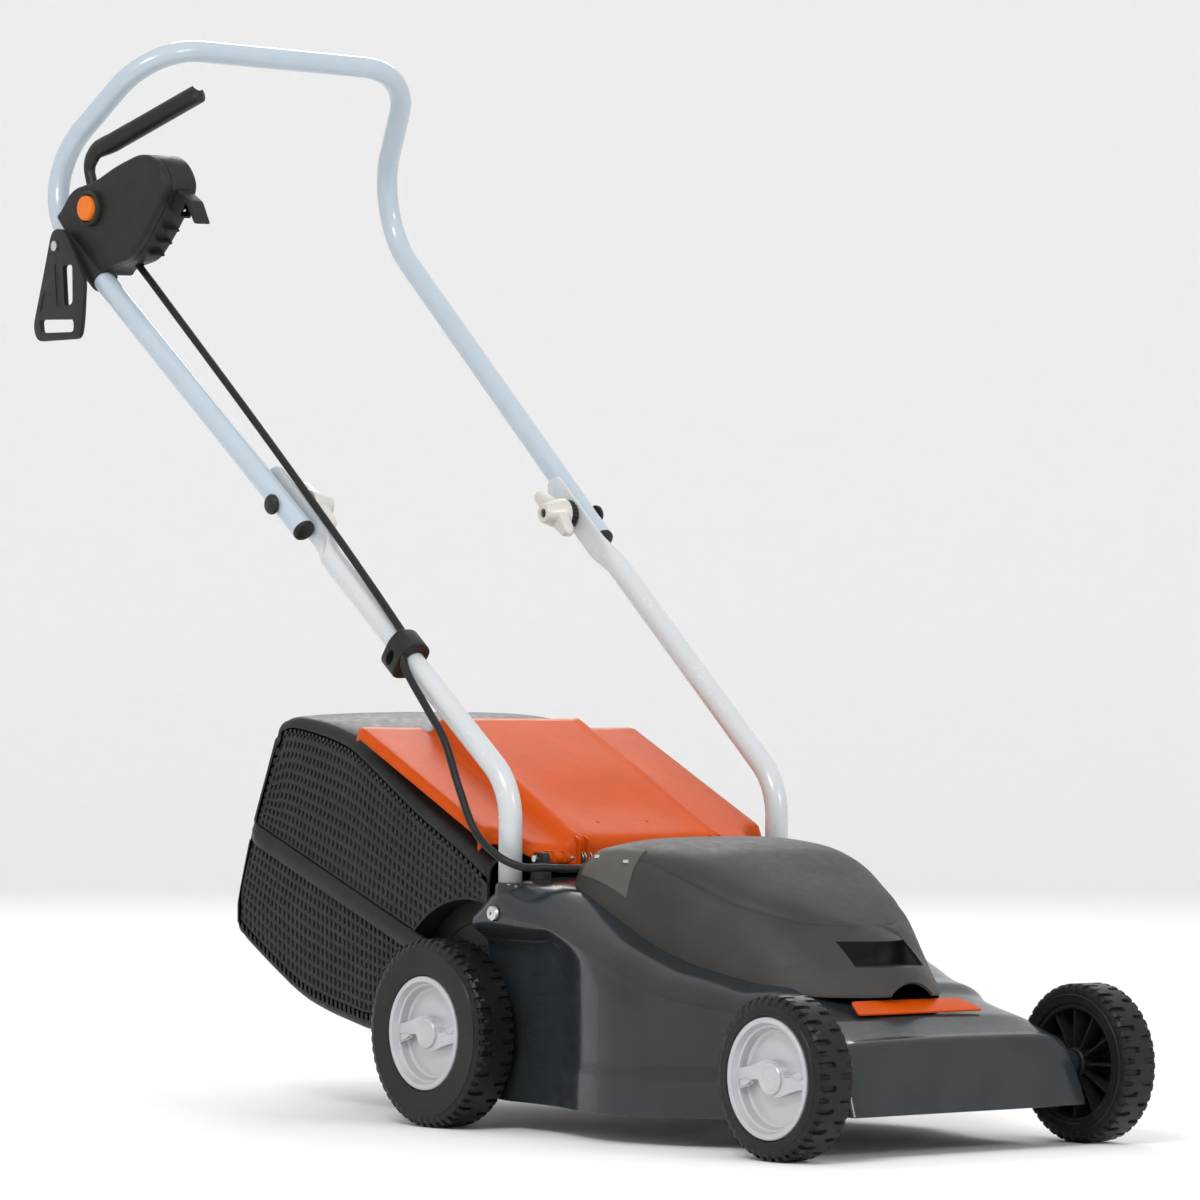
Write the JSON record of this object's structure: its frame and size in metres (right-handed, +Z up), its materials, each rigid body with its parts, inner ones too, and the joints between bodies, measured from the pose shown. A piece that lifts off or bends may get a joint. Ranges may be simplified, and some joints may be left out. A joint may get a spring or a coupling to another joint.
{
  "type": "reel mower",
  "caption": "Walk-behind corded rotary lawn mower with a round deck, motor cover, sprung rear flap, rear grass box and folding tube handle with a switch lever.",
  "frame": {"origin": "middle of the object's footprint on the ground", "axes": "+Z up, the mower's front faces -Y, the operator stands at +Y, and the wheel axles run along X"},
  "size_m": [0.4353, 1.129, 1.0102],
  "materials": {
    "deck_paint": "gloss",
    "cover_plastic": "textured matte",
    "flap_plastic": "gloss",
    "box_plastic": "satin",
    "upper_tube_paint": "gloss",
    "lower_tube_paint": "gloss",
    "button_plastic": "gloss",
    "cable_rubber": "satin",
    "copper_winding": "satin",
    "blade_steel": "satin",
    "cast_metal": "rough",
    "tyre_plastic": "satin",
    "hub_plastic": "satin",
    "knob_plastic": "satin",
    "zinc_plate": "bright",
    "black_plastic": "satin"
  },
  "bodies": {
    "wheel_front_right": {"tyre_front_right": "tyre_plastic", "hub_front_right": "hub_plastic"},
    "wheel_front_left": {"tyre_front_left": "tyre_plastic", "hub_front_left": "hub_plastic"},
    "wheel_rear_right": {"tyre_rear_right": "tyre_plastic", "hub_rear_right": "hub_plastic"},
    "wheel_rear_left": {"tyre_rear_left": "tyre_plastic", "hub_rear_left": "hub_plastic"},
    "blade_rotor": {"blade": "blade_steel", "blade_flange": "cast_metal", "blade_washer": "zinc_plate", "blade_bolt": "zinc_plate", "motor_shaft": "blade_steel", "rotor": "blade_steel", "cooling_fan": "black_plastic"},
    "flap": {"rear_flap": "flap_plastic", "flap_knuckle_right": "flap_plastic", "flap_knuckle_left": "flap_plastic"},
    "grass_box": {"grass_box_upper": "box_plastic", "grass_box_lower": "box_plastic"},
    "handle": {"upper_handle": "upper_tube_paint", "tube_end_cap_right": "black_plastic", "tube_end_cap_left": "black_plastic", "switch_box_outer": "black_plastic", "switch_box_inner": "black_plastic", "switch_module": "black_plastic", "button_collar": "black_plastic", "plug_inlet": "black_plastic", "lever_pin": "blade_steel", "hook_pin": "zinc_plate"},
    "lever": {"switch_lever": "black_plastic"},
    "button": {"lock_button": "button_plastic"},
    "hook": {"cord_hook": "black_plastic"},
    "knob_right": {"wing_knob_right": "knob_plastic"},
    "knob_left": {"wing_knob_left": "knob_plastic"},
    "chassis": {"bearing_lower": "blade_steel", "bearing_upper": "blade_steel", "cable_clip": "black_plastic", "capacitor": "black_plastic", "deck_shell": "deck_paint", "flap_hinge_pin": "zinc_plate", "flap_spring": "blade_steel", "fold_bolt_left": "black_plastic", "fold_bolt_right": "black_plastic", "fold_washer_left": "black_plastic", "fold_washer_right": "black_plastic", "front_axle": "zinc_plate", "front_badge": "flap_plastic", "handle_screw_left": "zinc_plate", "handle_screw_right": "zinc_plate", "hinge_bracket_left": "black_plastic", "hinge_bracket_right": "black_plastic", "lower_handle_left": "lower_tube_paint", "lower_handle_right": "lower_tube_paint", "motor_cover": "cover_plastic", "motor_end_plate": "cast_metal", "motor_housing": "cast_metal", "rear_axle": "zinc_plate", "stator": "copper_winding", "switch_cable": "cable_rubber"}
  },
  "joints": [
    {"name": "wheel_front_right_spin", "type": "hinge", "parent": "chassis", "child": "wheel_front_right", "pos_m": [-0.16385, -0.4972, 0.0675], "axis": [1, 0, 0], "continuous": true},
    {"name": "wheel_front_left_spin", "type": "hinge", "parent": "chassis", "child": "wheel_front_left", "pos_m": [0.17465, -0.4972, 0.0675], "axis": [1, 0, 0], "continuous": true},
    {"name": "wheel_rear_right_spin", "type": "hinge", "parent": "chassis", "child": "wheel_rear_right", "pos_m": [-0.1696, -0.0402, 0.0825], "axis": [1, 0, 0], "continuous": true},
    {"name": "wheel_rear_left_spin", "type": "hinge", "parent": "chassis", "child": "wheel_rear_left", "pos_m": [0.1804, -0.0402, 0.0825], "axis": [1, 0, 0], "continuous": true},
    {"name": "blade_spin", "type": "hinge", "parent": "chassis", "child": "blade_rotor", "pos_m": [0.0054, -0.2652, 0.05], "axis": [0, 0, 1], "continuous": true},
    {"name": "flap_lift", "type": "hinge", "parent": "chassis", "child": "flap", "pos_m": [0.0054, -0.1102, 0.236], "axis": [1, 0, 0], "range_deg": [0, 15], "stiffness_Nm_per_rad": 0.3, "springref_deg": -57.3},
    {"name": "grass_box_slide", "type": "slide", "parent": "chassis", "child": "grass_box", "axis": [0, 1, 0], "range_m": [0, 0.45]},
    {"name": "handle_fold", "type": "hinge", "parent": "chassis", "child": "handle", "pos_m": [0.0054, 0.2038, 0.5532], "axis": [1, 0, 0], "range_deg": [0, 150], "deforming": ["switch_cable"]},
    {"name": "lever_squeeze", "type": "hinge", "parent": "handle", "child": "lever", "pos_m": [-0.18, 0.496, 0.855], "axis": [-0.9985, -0.0426, -0.0349], "range_deg": [0, 24], "stiffness_Nm_per_rad": 0.5, "springref_deg": -34.38},
    {"name": "button_press", "type": "slide", "parent": "handle", "child": "button", "axis": [0.9985, 0.0426, 0.0349], "range_m": [0, 0.004], "stiffness_N_per_m": 400, "springref_m": -0.003},
    {"name": "hook_swing", "type": "hinge", "parent": "handle", "child": "hook", "pos_m": [-0.2126, 0.5218, 0.809], "axis": [1, 0, 0], "range_deg": [-25, 25]},
    {"name": "knob_right_turn", "type": "hinge", "parent": "chassis", "child": "knob_right", "pos_m": [-0.1316, 0.2038, 0.5532], "axis": [1, 0, 0], "continuous": true},
    {"name": "knob_left_turn", "type": "hinge", "parent": "chassis", "child": "knob_left", "pos_m": [0.1424, 0.2038, 0.5532], "axis": [1, 0, 0], "continuous": true}
  ]
}
